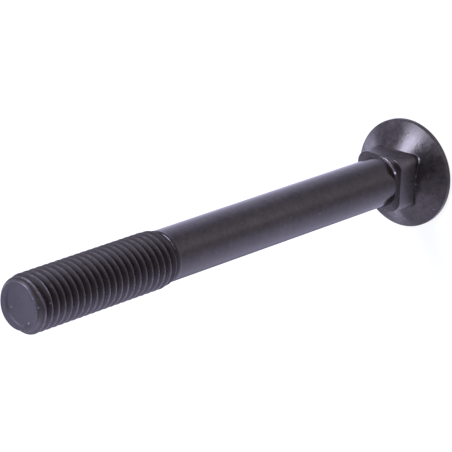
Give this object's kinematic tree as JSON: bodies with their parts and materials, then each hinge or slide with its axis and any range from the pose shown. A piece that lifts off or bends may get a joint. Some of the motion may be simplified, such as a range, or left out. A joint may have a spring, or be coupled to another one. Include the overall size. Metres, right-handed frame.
{
  "type": "countersunk bolt",
  "caption": "Long flat countersunk head bolt with a square neck, a plain shank and a rolled metric thread, in blackened steel.",
  "frame": {"origin": "centre of the flat head face, on which the bolt stands", "axes": "+Z along the bolt from the head face to the thread end, X and Y square to the flats of the neck"},
  "size_m": [0.0238, 0.0238, 0.12],
  "materials": {
    "blackened_steel": "black oxide on forged and rolled steel, dark violet grey, satin, faintly mottled"
  },
  "bodies": {
    "root": {"bolt": "blackened_steel"}
  },
  "joints": []
}
